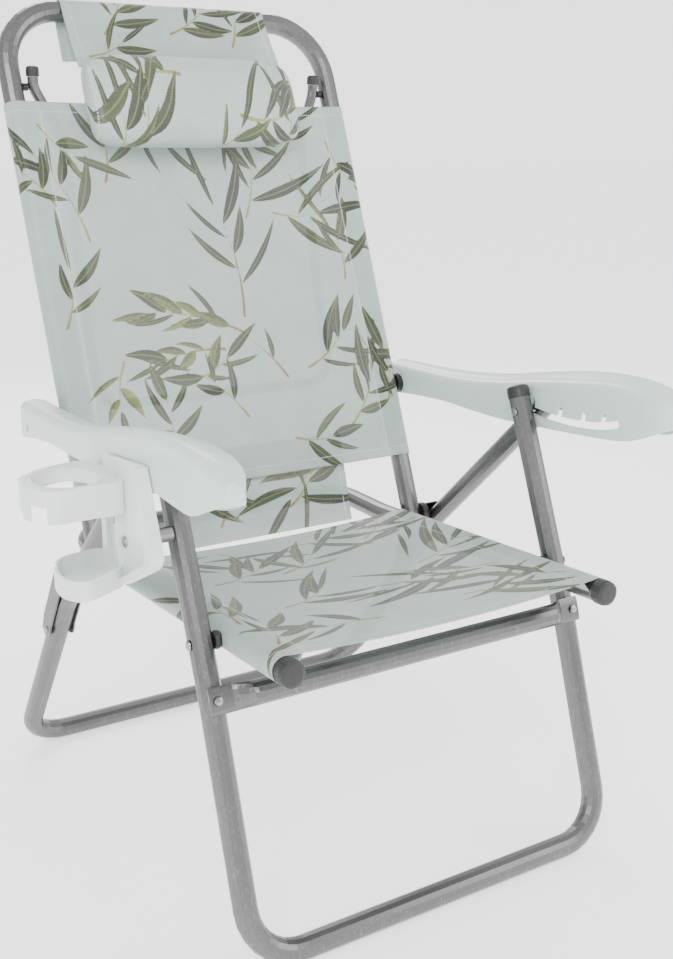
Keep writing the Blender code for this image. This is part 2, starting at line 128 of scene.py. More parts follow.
def calc(tree, operation, a, b=0.0):
    return node(tree, "Math", {0: a, 1: b}, operation=operation).outputs[0]


def mix(tree, share, a, b):
    return node(tree, "Mix", {0: share, 6: a, 7: b}, data_type="RGBA").outputs[2]


def ramp(tree, value, low, high, toLow=0.0, toHigh=1.0):
    made = node(tree, "MapRange", {"Value": value, "From Min": low, "From Max": high,
                                   "To Min": toLow, "To Max": toHigh}, interpolation_type="SMOOTHSTEP")
    return made.outputs["Result"]


def noise(tree, place, scale, detail=2.0, stretch=None):
    if stretch:
        place = node(tree, "Mapping", {"Vector": place, "Scale": stretch}).outputs["Vector"]
    return node(tree, "TexNoise", {"Vector": place, "Scale": scale, "Detail": detail}).outputs["Fac"]


def newGroup(name, inputs, outputs):
    tree = bpy.data.node_groups.new(name, "ShaderNodeTree")
    for label, kind, value in inputs:
        socket = tree.interface.new_socket(label, in_out="INPUT", socket_type="NodeSocket" + kind)
        if value is not None:
            socket.default_value = value
    for label, kind in outputs:
        tree.interface.new_socket(label, in_out="OUTPUT", socket_type="NodeSocket" + kind)
    return tree, tree.nodes.new("NodeGroupInput").outputs, tree.nodes.new("NodeGroupOutput").inputs


def useGroup(tree, group, inputs):
    made = tree.nodes.new("ShaderNodeGroup")
    made.node_tree = group
    for key, value in inputs.items():
        if isinstance(value, bpy.types.NodeSocket):
            tree.links.new(value, made.inputs[key])
        else:
            made.inputs[key].default_value = value
    return made.outputs


def newMaterial(name, **fixed):
    made = bpy.data.materials.new(name)
    made.use_nodes = True
    shader = made.node_tree.nodes["Principled BSDF"]
    for label, value in fixed.items():
        shader.inputs[label.replace("_", " ")].default_value = value
    return made, made.node_tree, shader


def makeGrainGroup():
    tree, given, out = newGroup("surfaceGrain", [("Vector", "Vector", None), ("Scale", "Float", 60.0)],
                                [("Patches", "Float"), ("Grain", "Float")])
    tree.links.new(noise(tree, given["Vector"], given["Scale"], 4.0), out["Patches"])
    fine = calc(tree, "MULTIPLY", given["Scale"], 22.0)
    tree.links.new(noise(tree, given["Vector"], fine, 2.0), out["Grain"])
    return tree


# coated yarns crossing over and under
def makeWeaveGroup():
    tree, given, out = newGroup("meshWeave", [("Vector", "Vector", None), ("Pitch", "Float", 0.0013)],
                                [("Height", "Float"), ("Yarn", "Float")])
    parts = node(tree, "SeparateXYZ", {0: given["Vector"]}).outputs
    waves = []
    for axis in "XY":
        turn = calc(tree, "DIVIDE", calc(tree, "MULTIPLY", parts[axis], math.pi), given["Pitch"])
        waves.append(calc(tree, "SINE", turn))
    crown = [calc(tree, "MULTIPLY", wave, wave) for wave in waves]
    over = calc(tree, "MULTIPLY_ADD", calc(tree, "MULTIPLY", waves[0], waves[1]), 0.5)
    across = calc(tree, "MULTIPLY", crown[0], over)
    height = calc(tree, "MAXIMUM", across, calc(tree, "MULTIPLY", crown[1], 0.8))
    tree.links.new(height, out["Height"])
    streak = noise(tree, given["Vector"], 900.0, 1.0, (1.0, 0.12, 1.0))
    other = noise(tree, given["Vector"], 900.0, 1.0, (0.12, 1.0, 1.0))
    tree.links.new(calc(tree, "MULTIPLY", calc(tree, "ADD", streak, other), 0.5), out["Yarn"])
    return tree


metalLook = {
    "grain": 9.0, "patchDark": 0.92, "patchLight": 1.06, "scratchScale": 700.0, "scratchRun": (1.0, 1.0, 0.06),
    "scratchColour": (0.42, 0.42, 0.43, 1), "scratchShare": 0.22, "bump": 0.12, "depth": 0.0001,
}


def makeMetal(name, colour, rough):
    look = metalLook
    made, tree, shader = newMaterial(name, Metallic=1.0)
    place = node(tree, "TexCoord").outputs["Object"]
    grain = useGroup(tree, groups["grain"], {"Vector": place, "Scale": look["grain"]})
    shade = mix(tree, ramp(tree, grain["Patches"], 0.25, 0.75),
                tuple(c * look["patchDark"] for c in colour) + (1,),
                tuple(c * look["patchLight"] for c in colour) + (1,))
    scratches = noise(tree, place, look["scratchScale"], 1.0, look["scratchRun"])
    shade = mix(tree, ramp(tree, scratches, 0.55, 0.75, 0.0, look["scratchShare"]), shade, look["scratchColour"])
    tree.links.new(shade, shader.inputs["Base Color"])
    gloss = ramp(tree, grain["Patches"], 0.2, 0.8, rough * 0.85, rough * 1.2)
    tree.links.new(gloss, shader.inputs["Roughness"])
    bump = node(tree, "Bump", {"Height": scratches, "Strength": look["bump"], "Distance": look["depth"]})
    tree.links.new(bump.outputs[0], shader.inputs["Normal"])
    return made


plasticLook = {"grain": 34.0, "coatRough": 0.12, "bump": 0.3, "depth": 0.0002}


def makePlastic(name, colour, rough, coat=0.0, speckle=0.05):
    look = plasticLook
    made, tree, shader = newMaterial(name, Coat_Weight=coat, Coat_Roughness=look["coatRough"])
    place = node(tree, "TexCoord").outputs["Object"]
    grain = useGroup(tree, groups["grain"], {"Vector": place, "Scale": look["grain"]})
    patch = ramp(tree, grain["Patches"], 0.3, 0.7)
    base = mix(tree, patch, tuple(c * (1 - speckle) for c in colour) + (1,),
               tuple(min(1.0, c * (1 + speckle)) for c in colour) + (1,))
    tree.links.new(base, shader.inputs["Base Color"])
    gloss = ramp(tree, grain["Grain"], 0.2, 0.8, rough * 0.85, rough * 1.2)
    tree.links.new(gloss, shader.inputs["Roughness"])
    bump = node(tree, "Bump", {"Height": grain["Grain"], "Strength": look["bump"], "Distance": look["depth"]})
    tree.links.new(bump.outputs[0], shader.inputs["Normal"])
    return made


# scales are noise sizes, and covers are how much of a colour the print lays on, except the gap cover, which is
# how much painted shade darkens the weave between the yarns
clothLook = {
    "ground": (0.43, 0.535, 0.500), "leafDark": (0.007, 0.011, 0.003), "leafMid": (0.040, 0.054, 0.011),
    "leafPale": (0.215, 0.255, 0.060), "stemGreen": (0.300, 0.300, 0.050), "stemBrown": (0.230, 0.095, 0.018),
    "thread": (0.35, 0.42, 0.39), "gapShade": (0.10, 0.12, 0.10), "stitch": (0.72, 0.78, 0.74), "pitch": 0.0013,
    "patchScale": 14.0, "patchDark": 0.95, "patchLight": 1.04, "yarnCover": 0.5, "gapShadeCover": 0.22,
    "edgeScale": 420.0, "edgeWobble": 0.9, "fibreScale": 260.0, "fibre": 0.5, "shaded": 0.16, "veinCover": 0.55,
    "stemCover": 0.92, "leafCover": (1.0, 0.88), "stitchPitch": 2100.0, "stitchCover": 0.7, "stitchRise": 0.8,
    "rough": 0.62, "coat": 0.22, "coatRough": 0.25, "glintScale": 420.0, "bump": 0.45, "depth": 0.0005,
}


# leaf carries (depth in mm, tone, side), and stem carries (depth in mm, ripeness)
def makeCloth(name, sparkle=0.0, alpha=1.0):
    look = clothLook
    made, tree, shader = newMaterial(
        name, Roughness=0.6, Sheen_Weight=0.15, Coat_Weight=look["coat"] + sparkle / 2,
        Coat_Roughness=look["coatRough"], Alpha=alpha)

    def read(label):
        return node(tree, "Attribute", attribute_name=label).outputs

    def apart(vector):
        return node(tree, "SeparateXYZ", {0: vector}).outputs

    flat = read("cloth")["Vector"]
    leaf, stem = apart(read("leaf")["Vector"]), apart(read("stem")["Vector"])
    weave = useGroup(tree, groups["weave"], {"Vector": flat, "Pitch": look["pitch"]})
    patch = noise(tree, flat, look["patchScale"], 3.0)
    edge = calc(tree, "SUBTRACT", noise(tree, flat, look["edgeScale"], 1.0), 0.5)
    wobble = calc(tree, "MULTIPLY", edge, look["edgeWobble"])
    ground = mix(tree, ramp(tree, patch, 0.3, 0.7), tuple(c * look["patchDark"] for c in look["ground"]) + (1,),
                 tuple(c * look["patchLight"] for c in look["ground"]) + (1,))
    yarn = ramp(tree, weave["Yarn"], 0.35, 0.65, 0.0, look["yarnCover"])
    ground = mix(tree, yarn, ground, look["thread"] + (1,))
    fibre = calc(tree, "SUBTRACT", noise(tree, flat, look["fibreScale"], 2.0), 0.5)
    tone = calc(tree, "ADD", leaf["Y"], calc(tree, "MULTIPLY", fibre, look["fibre"]))
    tone = calc(tree, "ADD", tone, calc(tree, "MULTIPLY", leaf["Z"], look["shaded"]))
    paint = mix(tree, ramp(tree, tone, 0.0, 0.55), look["leafDark"] + (1,), look["leafMid"] + (1,))
    paint = mix(tree, ramp(tree, tone, 0.5, 1.0), paint, look["leafPale"] + (1,))
    vein = ramp(tree, calc(tree, "ABSOLUTE", leaf["Z"]), 0.04, 0.16, look["veinCover"], 0.0)
    paint = mix(tree, vein, paint, look["leafPale"] + (1,))
    inStem = ramp(tree, calc(tree, "ADD", stem["X"], wobble), -0.2, 0.5)
    twig = mix(tree, ramp(tree, stem["Y"], 0.35, 0.75), look["stemGreen"] + (1,), look["stemBrown"] + (1,))
    colour = mix(tree, calc(tree, "MULTIPLY", inStem, look["stemCover"]), ground, twig)
    inLeaf = ramp(tree, calc(tree, "ADD", leaf["X"], wobble), -0.3, 0.6)
    hatch = ramp(tree, weave["Height"], 0.5, 1.0, *look["leafCover"])
    colour = mix(tree, calc(tree, "MULTIPLY", inLeaf, hatch), colour, paint)
    # painted shade: the low parts of the weave, between the yarns, are darkened towards a dark grey-green
    colour = mix(tree, ramp(tree, weave["Height"], 0.0, 0.6, look["gapShadeCover"], 0.0), colour, look["gapShade"] + (1,))
    wave = calc(tree, "SINE", calc(tree, "MULTIPLY", apart(flat)["Z"], look["stitchPitch"]))
    dash = calc(tree, "GREATER_THAN", wave, -0.35)
    line = ramp(tree, calc(tree, "ABSOLUTE", read("seam")["Fac"]), 0.0004, 0.0010, 1.0, 0.0)
    stitch = calc(tree, "MULTIPLY", line, dash)
    colour = mix(tree, calc(tree, "MULTIPLY", stitch, look["stitchCover"]), colour, look["stitch"] + (1,))
    tree.links.new(colour, shader.inputs["Base Color"])
    glint = node(tree, "TexVoronoi", {"Vector": flat, "Scale": look["glintScale"]}).outputs["Color"]
    spark = node(tree, "SeparateColor", {0: glint}).outputs[0]
    shine = ramp(tree, spark, 0.0, 1.0, look["rough"] - sparkle, look["rough"])
    tree.links.new(shine, shader.inputs["Roughness"])
    height = calc(tree, "ADD", weave["Height"], calc(tree, "MULTIPLY", stitch, look["stitchRise"]))
    bump = node(tree, "Bump", {"Height": height, "Strength": look["bump"] + sparkle, "Distance": look["depth"]})
    tree.links.new(bump.outputs[0], shader.inputs["Normal"])
    return made


def bentLine(x, y, heading, reach, curl, share):
    turned = heading + curl * share / 2
    return (x + math.cos(turned) * reach * share, y + math.sin(turned) * reach * share, heading + curl * share)


printLook = {
    "twigSteps": 8, "stemHalf": 0.0019, "reachShare": 1.35, "fanShare": 0.78, "curl": 30, "firstLeaf": 0.3,
    "leafHalf": 0.0056, "leafVary": 0.0022, "leafCurl": 0.24, "toneVary": 0.22,
}


class Print:
    def __init__(self, flat):
        self.flat = flat
        count = len(flat)
        self.leaf = np.full((count, 3), (-9.0, 0.5, 0.0))
        self.stem = np.full((count, 3), (-9.0, 0.0, 0.0))

    def blade(self, x, y, heading, reach, wide, curl, tone):
        dx, dy = self.flat[:, 0] - x, self.flat[:, 1] - y
        c, s = math.cos(heading), math.sin(heading)
        run = (dx * c + dy * s) / reach
        side = (-dx * s + dy * c) / reach - curl * run * (1 - run)
        inside = np.clip(run, 0.0, 1.0)
        half = wide / reach * np.power(np.sin(math.pi * np.power(inside, 0.72)), 1.15)
        beyond = np.maximum(np.abs(run - 0.5) - 0.5, 0.0)
        depth = (half - np.abs(side) - beyond) * reach * 1000
        better = depth > self.leaf[:, 0]
        self.leaf[better, 0] = depth[better]
        self.leaf[better, 1] = tone
        self.leaf[better, 2] = np.clip(side[better] * reach / wide, -1.5, 1.5)

    def twig(self, x, y, heading, reach, curl, ripe):
        steps, thick = printLook["twigSteps"], printLook["stemHalf"]
        places = [bentLine(x, y, heading, reach, curl, i / steps)[:2] for i in range(steps + 1)]
        for i, (a, b) in enumerate(zip(places, places[1:])):
            ax, ay = a
            bx, by = b
            length = (bx - ax) ** 2 + (by - ay) ** 2
            dx, dy = self.flat[:, 0] - ax, self.flat[:, 1] - ay
            run = np.clip((dx * (bx - ax) + dy * (by - ay)) / length, 0, 1)
            far = np.hypot(dx - run * (bx - ax), dy - run * (by - ay))
            share = i / steps
            depth = (thick * (1 - 0.6 * share) - far) * 1000
            better = depth > self.stem[:, 0]
            self.stem[better, 0] = depth[better]
            self.stem[better, 1] = ripe * (1 - share)

    # a stem with narrow leaves fanning from its outer part; angles in degrees, sizes in metres
    def sprig(self, x, y, heading, reach, leaves, length, fan, tone, ripe):
        look = printLook
        heading, fan = math.radians(heading), math.radians(fan * look["fanShare"])
        curl = math.radians(look["curl"])
        reach *= look["reachShare"]
        self.twig(x, y, heading, reach, curl, ripe)
        for i in range(leaves):
            share = look["firstLeaf"] + (1 - look["firstLeaf"]) * i / (leaves - 1)
            px, py, along = bentLine(x, y, heading, reach, curl, share)
            last = i == leaves - 1
            side = 0.15 if last else 1 if i % 2 else -1
            wander = math.sin(7.3 * i + 91 * x + 57 * y)
            aim = along + side * fan * (1 - 0.3 * share) + 0.16 * wander
            size = length * (1.16 + 0.30 * math.sin(5.1 * i + 33 * x)) * (1.15 if last else 1.0)
            wide = look["leafHalf"] + look["leafVary"] * math.sin(3.7 * i + 20 * y)
            self.blade(px, py, aim, size, wide, look["leafCurl"] * side,
                       min(1.0, max(0.0, tone + look["toneVary"] * wander)))


sprigs = {
    # x, y, heading, stem, leaves, leaf length, fan, tone, ripeness
    # here y is the height up the back
    "back": [
        (-0.165, 0.395, 100, 0.085, 5, 0.060, 62, 0.25, 0.5),
        (-0.200, 0.440, 120, 0.060, 5, 0.052, 70, 0.15, 0.6),
        (-0.130, 0.470, 70, 0.060, 4, 0.055, 60, 0.30, 0.7),
        (0.026, 0.290, 80, 0.105, 6, 0.085, 50, 0.15, 1.1),
        (0.055, 0.420, 60, 0.060, 5, 0.095, 58, 0.28, 0.5),
        (0.095, 0.425, -18, 0.050, 4, 0.090, 50, 0.25, 0.5),
        (0.072, 0.205, 118, 0.075, 2, 0.034, 34, 0.60, 1.0),
        (0.024, 0.268, 150, 0.100, 9, 0.052, 34, 0.62, 0.9),
        (-0.010, 0.250, 172, 0.070, 6, 0.044, 30, 0.55, 0.8),
        (-0.215, 0.290, 60, 0.050, 4, 0.060, 46, 0.55, 0.5),
        (-0.150, 0.245, -120, 0.045, 4, 0.042, 55, 0.60, 0.5),
        (0.005, 0.160, 120, 0.070, 5, 0.050, 52, 0.35, 0.6),
        (-0.060, 0.215, 10, 0.040, 4, 0.045, 46, 0.45, 0.6),
        (0.105, 0.215, 20, 0.055, 5, 0.060, 60, 0.22, 0.6),
        (0.185, 0.330, 80, 0.050, 4, 0.070, 50, 0.50, 0.6),
        (0.190, 0.250, -70, 0.050, 5, 0.060, 55, 0.15, 0.5),
        (0.130, 0.505, 60, 0.050, 5, 0.058, 62, 0.12, 0.6),
        (0.195, 0.520, -80, 0.050, 5, 0.060, 60, 0.16, 0.5),
        (-0.205, 0.540, -60, 0.040, 4, 0.055, 50, 0.40, 0.5),
        (0.150, 0.130, 40, 0.060, 5, 0.062, 58, 0.35, 0.6),
        (-0.110, 0.125, 70, 0.050, 4, 0.050, 52, 0.50, 0.6),
        (0.065, 0.125, -20, 0.040, 4, 0.055, 48, 0.30, 0.5),
        (0.215, 0.160, 70, 0.050, 4, 0.060, 52, 0.25, 0.5),
        (-0.090, 0.545, -35, 0.050, 4, 0.060, 50, 0.35, 0.6),
        (0.045, 0.560, -65, 0.040, 4, 0.055, 50, 0.25, 0.5),
    ],
    # here y is the distance back from the front edge
    "seat": [
        (-0.150, 0.235, 10, 0.060, 5, 0.075, 48, 0.35, 0.9),
        (-0.060, 0.240, 20, 0.060, 4, 0.085, 40, 0.55, 0.8),
        (0.000, 0.330, -8, 0.060, 5, 0.080, 52, 0.22, 0.6),
        (0.090, 0.300, 30, 0.060, 5, 0.085, 50, 0.18, 0.6),
        (-0.120, 0.130, 15, 0.055, 5, 0.085, 45, 0.30, 0.7),
        (0.010, 0.140, -10, 0.050, 4, 0.100, 36, 0.35, 0.6),
        (0.090, 0.185, 10, 0.060, 5, 0.100, 42, 0.20, 0.5),
        (0.150, 0.120, 160, 0.070, 5, 0.095, 40, 0.40, 0.8),
        (0.170, 0.225, -20, 0.040, 4, 0.070, 50, 0.25, 0.5),
        (-0.190, 0.100, 80, 0.060, 5, 0.070, 48, 0.45, 0.8),
        (-0.185, 0.030, 60, 0.050, 4, 0.060, 50, 0.50, 0.7),
        (-0.050, 0.050, 165, 0.060, 4, 0.075, 40, 0.30, 0.6),
        (0.060, 0.060, -15, 0.050, 4, 0.085, 42, 0.45, 0.6),
        (0.185, 0.040, 140, 0.050, 5, 0.075, 50, 0.25, 0.7),
        (0.190, 0.330, 200, 0.050, 4, 0.070, 46, 0.20, 0.5),
        (-0.190, 0.340, -30, 0.050, 4, 0.070, 46, 0.30, 0.5),
        (-0.090, 0.345, -60, 0.040, 4, 0.060, 50, 0.40, 0.6),
    ],
    "riser": [
        (-0.060, 0.020, 60, 0.050, 4, 0.080, 48, 0.30, 0.6),
        (0.040, 0.030, 30, 0.050, 5, 0.075, 52, 0.25, 0.6),
        (0.100, 0.080, -160, 0.050, 4, 0.075, 46, 0.35, 0.6),
        (-0.110, 0.080, -20, 0.040, 4, 0.070, 50, 0.30, 0.6),
    ],
    "strap": [
        (-0.100, 0.050, 45, 0.050, 6, 0.060, 62, 0.28, 0.6),
        (-0.010, 0.055, 20, 0.050, 6, 0.062, 58, 0.30, 0.6),
        (0.075, 0.040, 60, 0.045, 5, 0.060, 60, 0.30, 0.6),
        (-0.130, 0.015, 10, 0.040, 4, 0.055, 50, 0.35, 0.5),
        (0.030, 0.100, 130, 0.050, 5, 0.058, 58, 0.35, 0.6),
        (0.120, 0.090, 110, 0.040, 4, 0.055, 55, 0.35, 0.6),
        (-0.060, 0.120, 0, 0.050, 5, 0.055, 55, 0.35, 0.6),
    ],
    "pillow": [
        (-0.095, 0.045, 62, 0.050, 4, 0.066, 40, 0.22, 0.8),
        (0.045, 0.085, -15, 0.050, 5, 0.062, 52, 0.22, 0.6),
        (-0.010, 0.030, 24, 0.050, 4, 0.060, 46, 0.40, 0.8),
        (0.110, 0.050, 60, 0.040, 4, 0.055, 56, 0.16, 0.6),
        (-0.120, 0.020, 70, 0.050, 4, 0.055, 48, 0.40, 0.6),
        (-0.030, 0.110, 170, 0.050, 4, 0.055, 50, 0.40, 0.6),
        (0.080, 0.150, 100, 0.050, 5, 0.055, 50, 0.40, 0.6),
        (-0.060, 0.190, 40, 0.050, 5, 0.055, 50, 0.40, 0.6),
    ],
}


def addPrint(piece, name, flat, seam):
    mesh = piece.data
    art = Print(np.array([(p[0], p[1]) for p in flat]))
    for row in sprigs[name]:
        art.sprig(*row)
    for label, values in (("cloth", np.array(flat, dtype=float)), ("leaf", art.leaf), ("stem", art.stem)):
        layer = mesh.attributes.new(label, "FLOAT_VECTOR", "POINT")
        layer.data.foreach_set("vector", values.ravel())
    layer = mesh.attributes.new("seam", "FLOAT", "POINT")
    layer.data.foreach_set("value", np.array(seam, dtype=float))


def apply(piece, kind, **settings):
    bpy.ops.object.select_all(action="DESELECT")
    bpy.context.view_layer.objects.active = piece
    piece.select_set(True)
    step = piece.modifiers.new(kind.lower(), kind)
    for name, value in settings.items():
        setattr(step, name, value)
    bpy.ops.object.modifier_apply(modifier=step.name)


def gridPiece(name, columns, rows, place):
    bpy.ops.object.select_all(action="DESELECT")
    bpy.ops.mesh.primitive_grid_add(x_subdivisions=columns, y_subdivisions=rows, size=2.0)
    piece = bpy.context.object
    piece.name = name
    piece.data.name = name
    flat, seam = [], []
    for vertex in piece.data.vertices:
        where, cloth, edge = place((vertex.co.x + 1) / 2, (vertex.co.y + 1) / 2)
        vertex.co = where
        flat.append(cloth)
        seam.append(edge)
    return piece, flat, seam


sleeveLook = {"clear": 0.0009, "thick": 0.0011, "tail": 0.020, "stitch": 0.024, "grid": 0.0026}


# the path across a cloth whose two sleeves wrap the side tubes: distance from the middle to (x, forward)
def sleevePath(halfWidth, distance, sag):
    radius = tubeRadius + sleeveLook["clear"]
    side = math.copysign(1.0, distance)
    far = abs(distance)
    if far <= halfWidth:
        share = far / halfWidth
        return side * far, radius - sag * (1 - share ** 2)
    turn = (far - halfWidth) / radius
    if turn <= math.pi:
        return side * (halfWidth + radius * math.sin(turn)), radius * math.cos(turn)
    rest = far - halfWidth - math.pi * radius
    lift = min(1.0, rest / sleeveLook["tail"])
    return side * (halfWidth - rest), -radius + lift * (2 * radius - 0.0030)


def sleeveWidth(halfWidth):
    return 2 * (halfWidth + math.pi * (tubeRadius + sleeveLook["clear"]) + sleeveLook["tail"])


def toSide(x, point):
    return Vector((x, point.x, point.y))


def sleevedCloth(name, printName, halfWidth, origin, up, front, length, sag, body, node):
    width = sleeveWidth(halfWidth)
    columns, rows = round(width / sleeveLook["grid"]), round(length / sleeveLook["grid"])

    def place(u, v):
        distance = (u - 0.5) * width
        along = v * length
        x, forward = sleevePath(halfWidth, distance, sag * (0.75 + 0.25 * math.sin(math.pi * v)))
        inside = max(0.0, 1 - abs(distance) / halfWidth)
        forward -= 0.0012 * math.sin(26 * along + 3) * inside * (1 - inside) * 2
        hem = min(along, length - along) - 0.012
        stitch = abs(distance) - (halfWidth - sleeveLook["stitch"])
        edge = hem if abs(hem) < abs(stitch) else stitch
        run = distance if abs(hem) < abs(stitch) else along
        return toSide(x, origin + up * along + front * forward), (distance, along, run), edge

    piece, flat, seam = gridPiece(name, columns, rows, place)
    addPrint(piece, printName, [(p[0], p[1] + printShift[printName], p[2]) for p in flat], seam)
    apply(piece, "SOLIDIFY", thickness=sleeveLook["thick"], offset=0.0)
    bpy.ops.object.shade_smooth()
    piece.data.materials.append(finishes["cloth"])
    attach(piece, body)
    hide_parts(node)
    note(f"{name} {width:.3f} x {length:.3f}")


printShift = {"back": 0.082, "seat": 0.0}
backCloth = {"low": 0.082, "high": 0.569, "sag": 0.010}
seatCloth = {"low": 0.004, "high": 0.376, "sag": 0.010}


def makeSling():
    look = backCloth
    sleevedCloth("backSling", "back", backX, backPivot + backUp * look["low"], backUp, backFront,
                 look["high"] - look["low"], look["sag"], "back", "back_fabric")
    look = seatCloth
    sleevedCloth("seatSling", "seat", seatX, seatFront + seatBack * look["low"], seatBack, seatUp,
                 look["high"] - look["low"], look["sag"], "seat", "seat_fabric")


# the cloth behind the back's hem, from the seat's rear edge up
riserLook = {
    "low": 0.008, "high": 0.125, "halfLow": 0.127, "halfHigh": 0.136, "behind": -0.002, "lean": 0.004,
    "wave": 0.0022, "hem": 0.008, "grid": (100, 44), "thick": 0.0011, "bendLow": 0.010, "bendHigh": 0.085,
}


def makeRiser():
    look = riserLook
    length = look["high"] - look["low"]

    def place(u, v):
        half = look["halfLow"] + (look["halfHigh"] - look["halfLow"]) * v
        x = (2 * u - 1) * half
        edge = 1 - (2 * u - 1) ** 2
        forward = look["behind"] + look["lean"] * (1 - v) + look["wave"] * math.sin(19 * u) * (1 - v) * edge
        spot = backPivot + backUp * (look["low"] + v * length) + backFront * forward
        return toSide(x, spot), (x, v * length, x), min(1 - abs(2 * u - 1), 1.0) * half - look["hem"]

    piece, flat, seam = gridPiece("seatRiser", *look["grid"], place)
    addPrint(piece, "riser", flat, seam)
    apply(piece, "SOLIDIFY", thickness=look["thick"], offset=0.0)
    bpy.ops.object.shade_smooth()
    piece.data.materials.append(finishes["cloth"])
    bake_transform(piece)
    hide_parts("seat_riser")
    note("riser made")


# the strap that goes over the top bar, and the pillow it carries
strapLook = {
    "left": -0.148, "right": 0.134, "frontLow": 0.604, "backLow": 0.632, "clear": 0.0010, "lift": 0.020,
    "frontWave": 0.0014, "backWave": 0.0012, "hem": 0.010, "grid": (116, 80), "thick": 0.0012,
}


def makeStrap():
    look = strapLook
    radius = tubeRadius + look["clear"]
    frontRun = barHeight - look["frontLow"]
    backRun = barHeight - look["backLow"]
    total = frontRun + math.pi * radius + backRun
    width = look["right"] - look["left"]

    def place(u, v):
        run = v * total
        x = look["left"] + u * width
        if run < frontRun:
            share = 1 - run / frontRun
            height = look["frontLow"] + run
            wave = look["frontWave"] * math.sin(22 * u) * math.sin(math.pi * share)
            forward = radius + look["lift"] * share ** 1.3 + wave
        elif run < frontRun + math.pi * radius:
            turn = (run - frontRun) / radius
            height, forward = barHeight + radius * math.sin(turn), radius * math.cos(turn)
        else:
            height = barHeight - (run - frontRun - math.pi * radius)
            forward = -radius + look["backWave"] * math.sin(18 * u)
        edge = min(u, 1 - u) * width - look["hem"]
        spot = backPivot + backUp * height + backFront * forward
        return toSide(x, spot), (x, run, run), edge

    piece, flat, seam = gridPiece("headStrap", *look["grid"], place)
    addPrint(piece, "strap", flat, seam)
    apply(piece, "SOLIDIFY", thickness=look["thick"], offset=0.0)
    bpy.ops.object.shade_smooth()
    piece.data.materials.append(finishes["cloth"])
    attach(piece, "headrest")
    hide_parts("pillow_strap")
    note("strap made")


# the left end is flatter than the right one, so its power is higher
pillowLook = {
    "left": -0.149, "right": 0.140, "low": 0.503, "high": 0.617, "thick": 0.048, "rear": 0.0152,
    "leftPower": 9.0, "rightPower": 5.0, "crease": 0.016, "dent": 0.0016, "hem": 0.006, "grid": (120, 100),
}


def makePillow():
    look = pillowLook
    tall = look["high"] - look["low"]
    width = look["right"] - look["left"]
    around = 2.4 * (tall / 2 + look["thick"] / 2)

    def place(u, v):
        across = 2 * u - 1
        power = look["rightPower"] if across > 0 else look["leftPower"]
        close = max(0.0, 1 - abs(across) ** power) ** (1 / 2.4)
        turn = math.tau * v + math.pi
        crease = 1 + look["crease"] * math.sin(5 * turn + 9 * across) * (abs(across) ** 3)
        y, z = math.cos(turn), math.sin(turn)
        y = math.copysign(abs(y) ** 0.72, y)
        z = math.copysign(abs(z) ** 0.86, z)
        high = tall / 2 * z * (0.18 + 0.82 * close ** 0.55) * crease
        deep = look["thick"] / 2 * y * close * crease
        dent = look["dent"] * math.sin(14 * u + 3) * max(0.0, y)
        height = (look["low"] + look["high"]) / 2 + high
        forward = look["rear"] + look["thick"] / 2 + deep + dent
        x = look["left"] + u * width
        spot = backPivot + backUp * height + backFront * forward
        return toSide(x, spot), (x, around * v, around * v), min(u, 1 - u) * width - look["hem"]

    piece, flat, seam = gridPiece("headPillow", *look["grid"], place)
    addPrint(piece, "pillow", flat, seam)
    cleanMesh(piece, 0.0001)
    bpy.ops.object.shade_smooth()
    piece.data.materials.append(finishes["pillow"])
    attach(piece, "headrest")
    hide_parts("pillow")
    note("pillow made")


def cleanMesh(piece, near=0.00001):
    bpy.ops.object.select_all(action="DESELECT")
    bpy.context.view_layer.objects.active = piece
    piece.select_set(True)
    bpy.ops.object.mode_set(mode="EDIT")
    bpy.ops.mesh.select_all(action="SELECT")
    bpy.ops.mesh.remove_doubles(threshold=near)
    bpy.ops.mesh.normals_make_consistent(inside=False)
    bpy.ops.object.mode_set(mode="OBJECT")


def shadeByAngle(piece, degrees):
    bpy.ops.object.select_all(action="DESELECT")
    bpy.context.view_layer.objects.active = piece
    piece.select_set(True)
    bpy.ops.object.shade_smooth_by_angle(angle=math.radians(degrees))


# a flat outline made solid between two heights; across is the axis the heights run along
def flatSolid(name, points, low, high, across):
    curve = bpy.data.curves.new(name, "CURVE")
    curve.dimensions = "2D"
    curve.fill_mode = "BOTH"
    curve.extrude = (high - low) / 2
    line = curve.splines.new("POLY")
    line.points.add(len(points) - 1)
    line.use_cyclic_u = True
    for spot, point in zip(points, line.points):
        point.co = (spot[0], spot[1], 0.0, 1.0)
    made = bpy.data.objects.new(name, curve)
    bpy.context.scene.collection.objects.link(made)
    bpy.ops.object.select_all(action="DESELECT")
    bpy.context.view_layer.objects.active = made
    made.select_set(True)
    bpy.ops.object.convert(target="MESH")
    made = bpy.context.object
    if across == "X":
        made.data.transform(Matrix(((0, 0, 1, 0), (1, 0, 0, 0), (0, 1, 0, 0), (0, 0, 0, 1))))
    middle = (low + high) / 2
    made.data.transform(Matrix.Translation((middle, 0, 0) if across == "X" else (0, 0, middle)))
    cleanMesh(made)
    return made


def carve(piece, tool, operation="DIFFERENCE"):
    apply(piece, "BOOLEAN", object=tool, operation=operation, solver="EXACT")
    bpy.data.objects.remove(tool, do_unlink=True)


def turned(spot, angle):
    c, s = math.cos(angle), math.sin(angle)
    return Vector((spot[0] * c - spot[1] * s, spot[0] * s + spot[1] * c))


def smoothLine(pairs, window=0.030):
    ys = np.linspace(pairs[0][0], pairs[-1][0], 400)
    values = np.interp(ys, [p[0] for p in pairs], [p[1] for p in pairs])
    reach = max(1, round(window / abs(ys[1] - ys[0]) / 2))
    padded = np.concatenate([np.full(reach, values[0]), values, np.full(reach, values[-1])])
    smooth = np.convolve(padded, np.ones(2 * reach + 1) / (2 * reach + 1), mode="valid")
    return lambda y: float(np.interp(y, ys, smooth))


